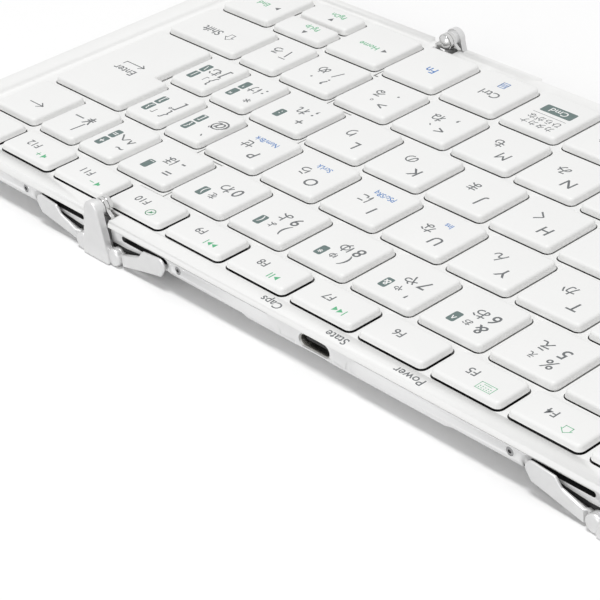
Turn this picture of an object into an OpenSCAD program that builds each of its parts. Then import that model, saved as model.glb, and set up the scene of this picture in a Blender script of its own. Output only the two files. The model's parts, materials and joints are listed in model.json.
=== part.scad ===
// Folding keyboard in three panels. The hinge axes lie level with the key tops, so the
// zigzag seam can run between the keys and the folded panels meet key to key.
// Origin: middle of the keyboard, on the desk. +X is the typist's right, +Y the rear edge.

/* [Keys] */
// Distance from one letter key to the next in a row
key_pitch = 19; // [18.6:0.1:19.4]
// Distance from one row of letters to the next
row_pitch = 17.84; // [17.2:0.02:18.6]
// Cell depth of the shallow function row
function_cell = 11.55; // [11:0.05:12.4]
// Cell depth of the bottom row
bottom_cell = 19.2; // [18:0.1:20]
// Space between neighbouring keys
key_gap = 1.8; // [1.6:0.1:2.4]
// Space between one row of keys and the next
row_gap = 2.1; // [1.8:0.1:2.6]
// How far the key tops stand above the deck
cap_rise = 1.7; // [1.6:0.1:1.9]
// How deep the skirt of a resting key hangs into its well
cap_skirt = 0.8; // [0.5:0.1:1]
// Thickness of the top of a key
cap_roof = 1; // [0.7:0.1:1.2]
// Thickness of the sides of a key
cap_wall = 0.9; // [0.6:0.1:1.2]
// Corner radius of a key seen from above
cap_corner = 1.4; // [0.8:0.1:2]
// How far the side of a key leans in
cap_draft = 0.2; // [0.1:0.05:0.4]
// Radius of the rounded upper edge of a key
cap_edge = 0.6; // [0.3:0.1:0.8]
// Free space between a key and its well
key_clear = 0.25; // [0.15:0.05:0.35]
// How far a key goes down
key_travel = 1.4; // [0.8:0.1:1.4]

/* [Panels] */
// Height of the deck above the desk
deck_z = 9.8; // [9.4:0.1:11]
// Thickness of the deck's edge, down to its seam with the shell
deck_t = 1.76; // [1.6:0.02:2]
// How far the deck's edge leans out between its top and the seam
deck_lean = 0.66; // [0.3:0.02:0.9]
// Height of the shell's edge below the seam
shell_h = 3.54; // [3.4:0.02:4]
// Thickness of the shell's floor
floor_t = 1; // [0.7:0.1:1.3]
// Thickness of the shell's rear and front walls
wall_t = 3.5; // [3.4:0.05:3.7]
// Thickness of the shell's walls along the seams
seam_wall = 1.2; // [0.8:0.1:1.6]
// Radius of the shell's lower edges
shell_edge = 1; // [0.5:0.1:1.4]
// Free space across the zigzag seam
seam_gap = 0.4; // [0.3:0.05:0.6]
// Flat deck between the last key cell and the rear edge
edge_rear = 3.3; // [3.2:0.05:3.8]
// Flat deck between the last key cell and the front edge
edge_front = 4.6; // [4.4:0.1:6]
// Flat deck beyond the keys on the left
edge_left = 5.1; // [5:0.1:7]
// Flat deck beyond the keys on the right
edge_right = 9.9; // [9:0.1:12]
// Corner radius of the wings seen from above
wing_corner = 5; // [3:0.5:8]
// Height of the raised rim
rim_h = 0.9; // [0.5:0.1:1.2]
// Width of the rim along the right wing's end
rim_right_w = 6.2; // [5:0.1:7]
// Width of the rim along the left wing's end
rim_left_w = 4.2; // [3:0.1:4.6]
// Width of the rim along the front edge
rim_front_w = 2.5; // [1.5:0.1:3]
// Distance from the middle to where the front rim starts
rim_start = 46; // [40:1:56]

/* [Hinges] */
// Distance of the fold axis from the middle, in key pitches
fold_u = 3.868; // [3.84:0.004:3.9]
// Height of the fold axis above the deck
axis_rise = 2; // [2:0.05:2.6]
// How far each panel ends short of the axis beside the hinges
strip_gap = 3; // [2.6:0.1:3.4]
// Depth of the edge strip that is cut back beside the hinges
strip_d = 3.4; // [3.3:0.05:3.6]
// Thickness of a knuckle plate
knuckle_t = 1.9; // [1.4:0.1:2.4]
// Space between a panel's edge face and the knuckle plate
knuckle_gap = 0.1; // [0.1:0.05:0.3]
// Radius of a knuckle's rounded top
knuckle_top_r = 2.4; // [2:0.1:2.6]
// Half of a knuckle plate's width at its foot
knuckle_foot = 4.7; // [4:0.1:5]
// Radius of a barrel at a knuckle's foot
barrel_r = 2.1; // [1.8:0.1:2.3]
// Distance of a barrel from the middle of its knuckle
barrel_dx = 5.5; // [5.2:0.1:6]
// Radius of the hinge pin
pin_r = 1.35; // [1.1:0.05:1.5]
// Radius of the hinge pin's domed head
pin_head_r = 1.85; // [1.7:0.05:1.9]
// Length of the domed head
pin_head_t = 0.9; // [0.6:0.1:1]
// Outer radius of the ears round the pin
ear_r = 2.15; // [2:0.05:2.3]
// Thickness of an ear
ear_t = 0.9; // [0.6:0.1:0.9]
// Radius of the pivot that carries a leg
pivot_r = 0.8; // [0.6:0.05:1]
// Running clearance of pins and pivots, on the radius
pin_clear = 0.05; // [0.03:0.01:0.08]

/* [Legs] */
// Thickness of a leg
leg_t = 1.1; // [0.8:0.05:1.2]
// Depth of the recess that a leg's paddle lies in
recess_d = 1.6; // [1.5:0.05:1.7]
// Distance from the fold axis to the paddle's slot pivot
paddle_reach = 21.4; // [20.8:0.1:22]
// Drop of the paddle's slot pivot below the deck
paddle_drop = 3.2; // [3:0.1:3.4]
// Length of the paddle from its slot pivot to its shoulder
paddle_l = 6.1; // [5:0.1:7]
// Height of the slot in the recess floor
slot_h = 1.3; // [1:0.1:1.5]
// Depth of the slot
slot_d = 0.9; // [0.5:0.1:1.2]

/* [Screws and port] */
// Distance of the middle panel's edge screws from the middle
screw_x_mid = 47; // [40:1:48]
// Distance of the wings' edge screws from the fold axis
screw_x_wing = 27; // [24:1:40]
// Height of the edge screws above the shell's lower face
screw_rise = 2.3; // [2:0.1:2.5]
// Radius of a screw head
screw_head_r = 0.95; // [0.8:0.05:1.1]
// Radius of a screw's shank
screw_r = 0.55; // [0.4:0.05:0.6]
// Middle of the socket along the rear edge
port_x = 6.3; // [0:0.1:10]
// Width of the socket's metal shell
port_w = 8.9; // [8.9:0.05:9]
// Height of the socket's metal shell
port_h = 3; // [2.8:0.05:3.05]
// Free space round the socket
port_play = 0.05; // [0.03:0.01:0.1]
// Length of the socket
port_l = 7.3; // [6.5:0.1:8]
// Length of the scooped recess round the socket
scoop_l = 27; // [20:1:30]
// Depth of the scooped recess
scoop_d = 1.2; // [0.6:0.1:1.4]

/* [Inside] */
// Thickness of the steel switch plate
plate_t = 0.4; // [0.3:0.05:0.5]
// Radius of a rubber dome
dome_r = 2.4; // [1.8:0.1:2.6]
// Distance between the domes under the space bar
space_dome_step = 20.8; // [16:0.1:22]
// How far the belly hangs below the middle shell
belly_drop = 0.9; // [0.7:0.1:1.1]
// Width of the belly
belly_w = 56; // [50:1:60]
// Thickness of the walls at the ends of the belly
belly_wall = 3; // [2:0.5:4]
// Middle of the belly
belly_x = -1.7; // [-4:0.1:4]
// Thickness of the main board
board_t = 0.8; // [0.6:0.1:1]
// Thickness of the battery
battery_t = 1.9; // [1.2:0.1:1.9]
// Width of the battery
battery_w = 44; // [30:1:46]

/* [Hidden] */
$fn = 64;

// Colours
white = [0.93, 0.93, 0.92];
key_white = [0.96, 0.96, 0.95];
satin = [0.80, 0.80, 0.81];
metal = [0.62, 0.62, 0.63];
steel = [0.72, 0.73, 0.75];

// Small clearances and cuts
cut = 1;
seat_fit = 0.1;
press_gap = 0.2;
dome_gap = 0.1;
pin_fit = 0.02;
// How far a straight edge starts inside the circle that it leaves
overlap = 0.05;

// Width of every key cell in key pitches, row by row from the rear; the last cell fills the row
function letters(n) = [for (i = [1:n]) 1];
function_unit = 1.037;
ROWS = [
    [for (i = [1:13]) function_unit],
    concat([1.01], letters(11), [0.755, 0.765]),
    concat([1.52], letters(10), [0.755, 0.76]),
    concat([1.78], letters(10), [0.75, 0.757]),
    concat([2.275], letters(10), [0.765]),
    concat(letters(4), [3.385], letters(4), [1.05, 1])];
block_u = 14.442;
// Number of the first key of the middle panel and of the right wing in each row
SPLITS = [[3, 11], [4, 11], [3, 11], [3, 10], [2, 10], [4, 9]];
space_cell = 4;
arrow_cell = 10;

block_w = block_u * key_pitch;
half_len = (block_w + edge_left + edge_right) / 2;
block_x = edge_left - half_len;
half_d = (edge_rear + function_cell + 4 * row_pitch + bottom_cell + edge_front) / 2;
fold_x = fold_u * key_pitch;
strip_y = half_d - strip_d;

// Heights
seam_z = deck_z - deck_t;
base_z = seam_z - shell_h;
belly_z = base_z - belly_drop;
axis_z = deck_z + axis_rise;
cap_top = deck_z + cap_rise;
cap_base = deck_z - cap_skirt;
plate_top = cap_base - key_travel - press_gap;
plate_z = plate_top - plate_t;
dome_h = cap_top - cap_roof - key_travel - dome_gap - plate_top;

function total(v, n, i = 0) = i >= n ? 0 : v[i] + total(v, n, i + 1);
function cells(r) = len(ROWS[r]) + 1;
// Left border of cell i in row r, and the rear border of row r
function border_x(r, i) = block_x + (i < cells(r) ? key_pitch * total(ROWS[r], i) : block_w);
function border_y(r) = half_d - edge_rear - (r > 0 ? function_cell : 0) - max(0, min(r, 5) - 1) * row_pitch
    - (r > 5 ? bottom_cell : 0);

// The seam between a wing (side 1 or -1) and the middle panel, as lanes from the rear strip to
// the front strip. off moves it away from the middle: below 0 it is the middle panel's edge.
function lane_x(side, off, k) = (k == 0 || k == 7)
    ? fold_x + sign(off) * (strip_gap - seam_gap / 2) + off
    : side * border_x(k - 1, SPLITS[k - 1][side > 0 ? 1 : 0]) + off;
function lane_y(k) = k == 0 ? strip_y : k == 6 ? -strip_y : border_y(k);
function seam_points(side, off) = concat(
    [[lane_x(side, off, 0), half_d]],
    [for (k = [0:6]) let (a = lane_x(side, off, k), b = lane_x(side, off, k + 1),
        y = lane_y(k) - off * sign(a - b)) each [[a, y], [b, y]]],
    [[lane_x(side, off, 7), -half_d]]);
function flip(points) = [for (p = points) [-p.x, p.y]];
function reversed(points) = [for (i = [len(points) - 1:-1:0]) points[i]];
function arc(c, r, a0, a1, n = 5) = [for (i = [0:n]) let (a = a0 + (a1 - a0) * i / n)
    c + r * [cos(a), sin(a)]];
function round_rect(w, d, r) = let (x = w / 2 - r, y = d / 2 - r)
    concat(arc([x, y], r, 0, 90), arc([-x, y], r, 90, 180), arc([-x, -y], r, 180, 270),
        arc([x, -y], r, 270, 360));
// Point where a line from p touches the circle of radius r round c
function touch(p, c, r, s) = let (v = p - c, a = atan2(v.y, v.x) + s * acos(r / norm(v)))
    c + r * [cos(a), sin(a)];

// Plan of a panel: side 0 is the middle, 1 the right wing, -1 the left wing.
// gap is the distance from the middle of the seam.
module panel_plan(side, gap) {
    intersection() {
        if (side == 0)
            polygon(concat(seam_points(1, -gap), flip(reversed(seam_points(-1, -gap)))));
        else
            polygon([for (p = concat(seam_points(side, gap), [[half_len, -half_d], [half_len, half_d]]))
                [side * p.x, p.y]]);
        polygon(round_rect(2 * half_len, 2 * half_d, wing_corner));
    }
}

// The same plan cut back to what lies inside the shell's walls, less some play
end_wall = 2.2;
module inner_plan(side, gap, play) {
    intersection() {
        panel_plan(side, gap);
        square([2 * (half_len - end_wall - play), 2 * (half_d - wall_t - play)], center = true);
    }
}

// Extrudes a drawing of X and Z from one Y to another
module along_y(a, b) {
    translate([0, max(a, b), 0]) rotate([90, 0, 0]) linear_extrude(abs(b - a)) children();
}

module slab(z0, z1) {
    translate([0, 0, z0]) linear_extrude(z1 - z0) children();
}

// Cutter that rounds an edge: lean is how far it leans over the height h, and its circle meets the
// vertical face. The edge runs along X at Y = 0 and Z = 0, with the body below it at Y < 0.
module edge_cutter(length, lean, h) {
    r = (h * h + lean * lean) / (2 * lean);
    rotate([90, 0, 90]) linear_extrude(length, center = true) difference() {
        translate([-lean, -h]) square([lean + cut, h + cut]);
        translate([-r, -h]) circle(r, $fn = 96);
    }
}

module edge_cutters(side, z, lean, h, up) {
    over = up ? 0 : 180;
    for (turn = [0, 180]) rotate([0, 0, turn]) translate([0, half_d, z]) rotate([0, over, 0])
        edge_cutter(2 * half_len + cut, lean, h);
    if (side != 0) rotate([0, 0, -90 * side]) translate([0, half_len, z]) rotate([0, over, 0])
        edge_cutter(2 * half_d + cut, lean, h);
}

// Keys

function cap_outline(w) = let (h = w / 2, c = h - cap_draft - cap_edge, t = cap_top - cap_edge) concat(
    [[-h, cap_base], [h, cap_base], [h, deck_z]], arc([c, t], cap_edge, 0, 90, 3),
    arc([-c, t], cap_edge, 90, 180, 3), [[-h, deck_z]]);

// A keycap without its hollow, over the plan from [x0, y0] to [x1, y1]
module cap_block(x0, x1, y0, y1) {
    translate([(x0 + x1) / 2, (y0 + y1) / 2, 0]) intersection() {
        along_y(-(y1 - y0) / 2, (y1 - y0) / 2) polygon(cap_outline(x1 - x0));
        rotate([90, 0, 90]) linear_extrude(x1 - x0, center = true) polygon(cap_outline(y1 - y0));
        slab(cap_base - cut, cap_top + cut) polygon(round_rect(x1 - x0, y1 - y0, cap_corner));
    }
}

module cap_hollow(x0, x1, y0, y1) {
    translate([x0 + cap_wall, y0 + cap_wall, cap_base - cut])
        cube([x1 - x0 - 2 * cap_wall, y1 - y0 - 2 * cap_wall, cap_top - cap_roof - cap_base + cut]);
}

// Borders of the caps of cell i in row r, each as [x0, x1, y0, y1]. The arrow cell holds two
// half-height keys, and the last cells of the two Enter rows belong to the one L-shaped key.
function cap_cell(r, i) = [border_x(r, i) + key_gap / 2, border_x(r, i + 1) - key_gap / 2,
    border_y(r + 1) + row_gap / 2, border_y(r) - row_gap / 2];
function halves(c) = let (m = (c[2] + c[3]) / 2, g = row_gap / 4)
    [[c[0], c[1], c[2], m - g], [c[0], c[1], m + g, c[3]]];
function is_enter(r, i) = (r == 2 || r == 3) && i == cells(r) - 1;
function is_space(r, i) = r == 5 && i == space_cell;
function caps(r, i) = r == 5 && i == arrow_cell ? halves(cap_cell(r, i)) : [cap_cell(r, i)];
enter_caps = let (a = cap_cell(2, cells(2) - 1), b = cap_cell(3, cells(3) - 1)) [a, [b[0], b[1], b[2], a[3]]];

// Cells of row r on one panel
function first_cell(r, side) = side < 0 ? 0 : SPLITS[r][side];
function last_cell(r, side) = side > 0 ? cells(r) - 1 : SPLITS[r][side + 1] - 1;
function row_caps(r, side) = [for (i = [first_cell(r, side):last_cell(r, side)])
    if (!is_enter(r, i) && !is_space(r, i)) each caps(r, i)];
space_caps = [cap_cell(5, space_cell)];
function panel_caps(side) = concat([for (r = [0:5]) each row_caps(r, side)],
    side > 0 ? enter_caps : [], side == 0 ? space_caps : []);

module keys(list) {
    color(key_white) difference() {
        union() for (c = list) cap_block(c[0], c[1], c[2], c[3]);
        for (c = list) cap_hollow(c[0], c[1], c[2], c[3]);
    }
}

// Wells for the keys of one panel, in plan
module wells_plan(side) {
    for (c = panel_caps(side)) translate([(c[0] + c[1]) / 2, (c[2] + c[3]) / 2])
        polygon(round_rect(c[1] - c[0] + 2 * key_clear, c[3] - c[2] + 2 * key_clear, cap_corner + key_clear));
}

// Deck: the white top of a panel, with a well for every key

// The deck's lower face is relieved over the end of each leg recess, behind a thin lip
relief_l = 4.2;
relief_h = 1.1;
lip_t = 0.3;
// Lugs that hang from the deck and take the edge screws
lug_w = 4.4;
lug_t = 1.6;
lug_h = 2.3;
lug_y = half_d - wall_t - seat_fit - lug_t;
screw_z = base_z + screw_rise;
screw_hole_r = screw_r + pin_fit;
screw_head_t = 0.7;
screw_sunk = 0.15;
screw_tip = 0.3;
drive_r = 0.45;
drive_d = 0.35;
function screw_places(side) = side == 0 ? [-screw_x_mid, screw_x_mid] : [side * (fold_x + screw_x_wing)];

// Hinge sides that panel side has: [side of the keyboard, -1 toward the middle or 1 toward the wing]
function hinge_ends(side) = side == 0 ? [[1, -1], [-1, -1]] : [[side, 1]];

module relief(side, way, end) {
    x = side * (fold_x + way * strip_gap);
    over_z = seam_z + relief_h;
    along_y(end * (half_d - recess_d), end * (half_d - lip_t))
        translate([x, 0]) mirror([side * way < 0 ? 1 : 0, 0, 0])
            polygon([[-cut, seam_z - cut], [-cut, over_z], [0, over_z], [relief_l, seam_z],
                [relief_l, seam_z - cut]]);
}

// Raised rim along the front edge and round the outer end of a wing. Its start slants over
// rim_slant, and it stays rim_clear away from the fold axes.
rim_slant = 4;
rim_clear = 5.6;
module rim_plan(side) {
    y0 = deck_lean - half_d;
    y1 = rim_front_w - half_d;
    x_end = fold_x - rim_clear;
    if (side == 0)
        for (m = [0, 1]) mirror([m, 0])
            polygon([[rim_start - rim_slant / 2, y0], [rim_start + rim_slant / 2, y1], [x_end, y1],
                [x_end, y0]]);
    else intersection() {
        w = side > 0 ? rim_right_w : rim_left_w;
        difference() {
            translate([side > 0 ? fold_x + rim_clear : -half_len, y0])
                square([half_len - fold_x - rim_clear, half_d - deck_lean - y0]);
            translate([side > 0 ? 0 : w - half_len, y1]) square([half_len - w, 2 * half_d]);
        }
        polygon(round_rect(2 * (half_len - deck_lean), 2 * (half_d - deck_lean), wing_corner - deck_lean));
    }
}

module deck(side) {
    color(white) difference() {
        union() {
            difference() {
                slab(seam_z, deck_z) panel_plan(side, seam_gap / 2);
                edge_cutters(side, deck_z, deck_lean, deck_t, true);
            }
            slab(plate_top, seam_z + cut / 2) inner_plan(side, seam_gap / 2, seat_fit);
            slab(deck_z - cut / 2, deck_z + rim_h) rim_plan(side);
            for (x = screw_places(side), y = [lug_y, -lug_y - lug_t])
                translate([x - lug_w / 2, y, seam_z - lug_h]) cube([lug_w, lug_t, lug_h + cut / 2]);
        }
        slab(plate_top, deck_z + cut) wells_plan(side);
        for (h = hinge_ends(side), e = [1, -1]) relief(h[0], h[1], e);
        for (x = screw_places(side), e = [1, -1])
            along_y(e * (lug_y - cut), e * (half_d - wall_t + cut))
                translate([x, screw_z]) circle(screw_hole_r);
    }
}

// Shell: the lower half of a panel, with the recesses for the legs

pivot_z = deck_z - paddle_drop;
paddle_back = 1.6;
paddle_room = 0.6;
recess_round = 1.5;
slot_near = 7.4;

// Recess that a leg's paddle lies in, with the slot in its floor
module recess(side, way, end) {
    far = paddle_reach + paddle_back + paddle_room;
    translate([side * fold_x, 0, 0]) mirror([side * way < 0 ? 1 : 0, 0, 0]) {
        along_y(end * (half_d - recess_d), end * (half_d + cut))
            polygon(concat([[strip_gap - cut, base_z - cut], [far, base_z - cut]],
                arc([far - recess_round, seam_z - recess_round], recess_round, 0, 90),
                [[strip_gap - cut, seam_z]]));
        along_y(end * (half_d - recess_d - slot_d), end * (half_d - recess_d + cut)) {
            for (x = [slot_near, paddle_reach]) translate([x, pivot_z]) circle(slot_h / 2);
            translate([slot_near, pivot_z - slot_h / 2]) square([paddle_reach - slot_near, slot_h]);
        }
    }
}

belly_ramp = 3.5;
belly_inner = belly_w - 2 * belly_wall;
module belly() {
    along_y(-half_d, half_d) translate([belly_x, 0])
        polygon([[-belly_w / 2 - belly_ramp, base_z], [-belly_w / 2, belly_z], [belly_w / 2, belly_z],
            [belly_w / 2 + belly_ramp, base_z], [belly_w / 2, base_z + floor_t / 2],
            [-belly_w / 2, base_z + floor_t / 2]]);
}

module capsule(w, h) {
    for (s = [-1, 1]) translate([s * (w - h) / 2, 0]) circle(h / 2);
    square([w - h, h], center = true);
}

// Scooped recess, and the socket's opening and bed behind it
socket_sunk = 0.2;
socket_y = half_d - scoop_d - socket_sunk;
port_z = plate_z - port_play - port_h / 2;
module port_cut() {
    r = (scoop_l * scoop_l / 4 + scoop_d * scoop_d) / (2 * scoop_d);
    translate([port_x, half_d - scoop_d + r, belly_z - cut])
        cylinder(r = r, h = seam_z - belly_z + cut, $fn = 200);
    along_y(socket_y - port_l - port_play, half_d + cut) translate([port_x, port_z])
        capsule(port_w + 2 * port_play, port_h + 2 * port_play);
}

// Pillars that the switch plate rests on, in the middle panel and from the fold axis in the wings
pillar_r = 1.6;
pillar_x = 46;
pillar_near = 22;
pillar_far = 58;
pillar_y = 34;
function pillar_places(side) = side == 0 ? [-pillar_x, pillar_x]
    : [side * (fold_x + pillar_near), side * (fold_x + pillar_far)];

module shell(side) {
    color(satin) difference() {
        union() {
            difference() {
                union() {
                    slab(base_z, seam_z) panel_plan(side, seam_gap / 2);
                    if (side == 0) belly();
                }
                edge_cutters(side, base_z, shell_edge, shell_edge, false);
                slab(plate_z, seam_z + cut) inner_plan(side, seam_gap / 2 - cut, 0);
                slab(base_z + floor_t, seam_z) inner_plan(side, seam_gap / 2 + seam_wall, 0);
            }
            for (x = pillar_places(side), y = [-pillar_y, 0, pillar_y])
                translate([x, y, base_z + floor_t / 2])
                    cylinder(r = pillar_r, h = plate_z - base_z - floor_t / 2);
        }
        if (side == 0) {
            translate([belly_x - belly_inner / 2, wall_t - half_d, belly_z + floor_t])
                cube([belly_inner, 2 * (half_d - wall_t), base_z - belly_z + cut / 2]);
            port_cut();
        }
        for (h = hinge_ends(side), e = [1, -1]) recess(h[0], h[1], e);
        for (x = screw_places(side), e = [1, -1]) {
            along_y(e * (half_d - wall_t - cut), e * (half_d + cut))
                translate([x, screw_z]) circle(screw_hole_r);
            along_y(e * (half_d - screw_head_t), e * (half_d + cut))
                translate([x, screw_z]) circle(screw_head_r + pin_fit);
        }
    }
}

// Screws through the shell's edge into the deck's lugs
module screws(side) {
    head_y = half_d - screw_sunk;
    color(steel) for (x = screw_places(side), e = [1, -1]) translate([x, 0, screw_z]) difference() {
        union() {
            along_y(e * (half_d - screw_head_t), e * head_y) circle(screw_head_r);
            along_y(e * (lug_y + screw_tip), e * (half_d - screw_head_t + seat_fit)) circle(screw_r);
        }
        along_y(e * (head_y - drive_d), e * (head_y + cut)) circle(drive_r, $fn = 6);
    }
}

// Steel plate under the keys, and the rubber domes on it
plate_inset = 0.3;
module switch_plate(side) {
    color(steel) slab(plate_z, plate_top) intersection() {
        panel_plan(side, seam_gap / 2 + plate_inset);
        square([2 * (half_len - wall_t), 2 * (lug_y - plate_inset)], center = true);
    }
}

// One dome under every key, and two more beside the middle one under the space bar
dome_top_r = 1.3;
module dome(c, dx) {
    translate([(c[0] + c[1]) / 2 + dx, (c[2] + c[3]) / 2, plate_top])
        cylinder(r1 = dome_r, r2 = dome_top_r, h = dome_h);
}
module domes(side) {
    color("white") {
        for (c = panel_caps(side)) dome(c, 0);
        if (side == 0) for (s = [-1, 1]) dome(space_caps[0], s * space_dome_step);
    }
}

// What the middle panel holds: the board lies on the belly's floor with a notch for the socket,
// and the battery lies in front of it
board_gap = 0.3;
board_front = 24;
board_z = belly_z + floor_t;
board_w = belly_inner - 2 * board_gap;
module main_board() {
    rear = half_d - wall_t - board_gap;
    color("seagreen") slab(board_z, board_z + board_t) difference() {
        translate([belly_x - board_w / 2, board_front]) square([board_w, rear - board_front]);
        translate([port_x - port_w / 2 - port_play, socket_y - port_l - port_play])
            square([port_w + 2 * port_play, port_l]);
    }
}

battery_front = -42;
battery_gap = 6;
module battery() {
    color("gray") translate([belly_x - battery_w / 2, battery_front, board_z])
        cube([battery_w, board_front - battery_gap - battery_front, battery_t]);
}

socket_wall = 0.25;
socket_back = 1;
tongue_w = 6.6;
tongue_h = 0.7;
tongue_sunk = 0.8;
module usb_socket() {
    color(steel) translate([port_x, 0, port_z]) {
        difference() {
            along_y(socket_y - port_l, socket_y) capsule(port_w, port_h);
            along_y(socket_y - port_l + socket_back, socket_y + cut)
                capsule(port_w - 2 * socket_wall, port_h - 2 * socket_wall);
        }
        along_y(socket_y - port_l + socket_back / 2, socket_y - tongue_sunk)
            square([tongue_w, tongue_h], center = true);
    }
}

// Status lamps on the board, one in front of each printed name
lamp_x = [-20.9, -1, 18.2];
lamp_size = [1.6, 0.8, 0.7];
lamp_back = 2;
module status_lamps() {
    color("palegreen") for (x = lamp_x)
        translate([x - lamp_size.x / 2, half_d - wall_t - lamp_back, board_z + board_t]) cube(lamp_size);
}

// Hinges

ear_back = 1;
ear_foot = 1.4;
ear_play = 0.1;
function ear_y(way) = half_d - ear_back - ear_t - (way > 0 ? ear_t + ear_play : 0);

// Ear of a panel round the hinge pin: way -1 on the middle panel, 1 on the wing
module ear(side, way, end) {
    near = [strip_gap, -axis_rise];
    far = [strip_gap + ear_foot, -axis_rise];
    translate([side * fold_x, 0, axis_z]) mirror([side * way < 0 ? 1 : 0, 0, 0])
        along_y(end * ear_y(way), end * (ear_y(way) + ear_t)) difference() {
            union() {
                circle(ear_r);
                polygon([[0, 0], touch(near, [0, 0], ear_r - overlap, -1), near, far,
                    touch(far, [0, 0], ear_r - overlap, 1)]);
            }
            circle(pin_r + pin_clear);
        }
}

module ears(side) {
    color(metal) for (h = hinge_ends(side), e = [1, -1]) ear(h[0], h[1], e);
}

knuckle_y = half_d + knuckle_gap;
knuckle_back = ear_y(-1) + ear_t + ear_play;
neck_cap = 0.85;
boss_step = 0.25;
barrel_back = 0.5;
// Knuckle seen from outside: a plate with a rounded top that tapers out to its foot, a boss round
// the pin behind its top, and a barrel at each side of its foot with the pivot of a leg
module knuckle(side, end) {
    top = [0, axis_z];
    shoulder = [knuckle_foot, 2 * barrel_r];
    color(metal) translate([side * fold_x, 0, 0]) difference() {
        union() {
            along_y(end * knuckle_y, end * (knuckle_y + knuckle_t)) {
                translate(top) circle(knuckle_top_r);
                for (turned = [0, 1]) mirror([turned, 0]) polygon([top,
                    touch(shoulder, top, knuckle_top_r - overlap, 1), shoulder, [knuckle_foot, 0],
                    [-overlap, 0], [-overlap, axis_z]]);
            }
            along_y(end * knuckle_back, end * (knuckle_y + knuckle_t / 2))
                translate(top) circle(ear_r - boss_step);
            for (s = [-1, 1]) {
                along_y(end * knuckle_y, end * (knuckle_y + knuckle_t - barrel_back))
                    translate([s * barrel_dx, barrel_r]) circle(barrel_r);
                along_y(end * (half_d - recess_d + seat_fit / 2), end * (knuckle_y + knuckle_t / 2))
                    translate([s * barrel_dx, barrel_r]) circle(pivot_r);
            }
        }
        along_y(end * (knuckle_back - cut), end * (knuckle_y + knuckle_t - neck_cap))
            translate(top) circle(pin_r + pin_fit);
    }
}

// Pin with a domed head inside the ears
module hinge_pin(side, end) {
    head_y = ear_y(1) - ear_play;
    dome = (pin_head_r * pin_head_r + pin_head_t * pin_head_t) / (2 * pin_head_t);
    color(steel) translate([side * fold_x, 0, axis_z]) rotate([end > 0 ? -90 : 90, 0, 0]) {
        translate([0, 0, head_y - cut / 4])
            cylinder(r = pin_r, h = knuckle_y + knuckle_t - neck_cap - head_y + cut / 4);
        intersection() {
            translate([0, 0, head_y - pin_head_t + dome]) sphere(dome);
            translate([0, 0, head_y - pin_head_t - cut]) cylinder(r = pin_head_r, h = pin_head_t + cut);
        }
    }
}

// Leg seen from outside, from its slot pivot at [0, 0] toward the hinge: a paddle with a rounded
// upper corner, a slanting heel and a shoulder, and an arm down to the eye on the knuckle's pivot
paddle_up = 1.3;
paddle_down = 3;
paddle_round = 1.2;
heel_slant = 0.7;
shoulder_l = 0.5;
shoulder_drop = 0.3;
eye_step = 0.15;
leg_y = half_d - recess_d + seat_fit;
module leg(side, way, end) {
    eye = [paddle_reach - barrel_dx, barrel_r - pivot_z];
    eye_r = barrel_r - eye_step;
    low = [heel_slant - paddle_back, -paddle_down];
    top = [paddle_l + shoulder_l, -shoulder_drop];
    translate([side * (fold_x + way * paddle_reach), 0, pivot_z]) mirror([side * way > 0 ? 1 : 0, 0, 0])
        color(metal) along_y(end * leg_y, end * (leg_y + leg_t)) difference() {
            union() {
                translate(eye) circle(eye_r);
                polygon(concat([eye, touch(low, eye, eye_r - overlap, 1), low],
                    arc([paddle_round - paddle_back, paddle_up - paddle_round], paddle_round, 180, 90),
                    [[paddle_l, paddle_up], top, touch(top, eye, eye_r - overlap, -1)]));
            }
            translate(eye) circle(pivot_r + pin_clear);
        }
}

deck(0);  // middle_deck
shell(0);  // middle_shell
switch_plate(0);  // middle_switch_plate
domes(0);  // middle_domes
ears(0);  // middle_hinge_ears
screws(0);  // middle_screws
main_board();
battery();
usb_socket();
status_lamps();
deck(1);  // right_deck
shell(1);  // right_shell
switch_plate(1);  // right_switch_plate
domes(1);  // right_domes
ears(1);  // right_hinge_ears
screws(1);  // right_screws
deck(-1);  // left_deck
shell(-1);  // left_shell
switch_plate(-1);  // left_switch_plate
domes(-1);  // left_domes
ears(-1);  // left_hinge_ears
screws(-1);  // left_screws
knuckle(1, 1);  // right_rear_knuckle
knuckle(1, -1);  // right_front_knuckle
hinge_pin(1, 1);  // right_rear_pin
hinge_pin(1, -1);  // right_front_pin
knuckle(-1, 1);  // left_rear_knuckle
knuckle(-1, -1);  // left_front_knuckle
hinge_pin(-1, 1);  // left_rear_pin
hinge_pin(-1, -1);  // left_front_pin
leg(1, -1, 1);  // right_inner_rear_leg
leg(1, -1, -1);  // right_inner_front_leg
leg(1, 1, 1);  // right_outer_rear_leg
leg(1, 1, -1);  // right_outer_front_leg
leg(-1, -1, 1);  // left_inner_rear_leg
leg(-1, -1, -1);  // left_inner_front_leg
leg(-1, 1, 1);  // left_outer_rear_leg
leg(-1, 1, -1);  // left_outer_front_leg
keys(row_caps(0, 0));  // function_keys_middle
keys(row_caps(0, 1));  // function_keys_right
keys(row_caps(0, -1));  // function_keys_left
keys(row_caps(1, 0));  // number_keys_middle
keys(row_caps(1, 1));  // number_keys_right
keys(row_caps(1, -1));  // number_keys_left
keys(row_caps(2, 0));  // upper_keys_middle
keys(row_caps(2, 1));  // upper_keys_right
keys(row_caps(2, -1));  // upper_keys_left
keys(row_caps(3, 0));  // home_keys_middle
keys(row_caps(3, 1));  // home_keys_right
keys(row_caps(3, -1));  // home_keys_left
keys(row_caps(4, 0));  // lower_keys_middle
keys(row_caps(4, 1));  // lower_keys_right
keys(row_caps(4, -1));  // lower_keys_left
keys(row_caps(5, 0));  // bottom_keys_middle
keys(row_caps(5, 1));  // bottom_keys_right
keys(row_caps(5, -1));  // bottom_keys_left
keys(enter_caps);  // enter_key
keys(space_caps);  // space_bar
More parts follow.
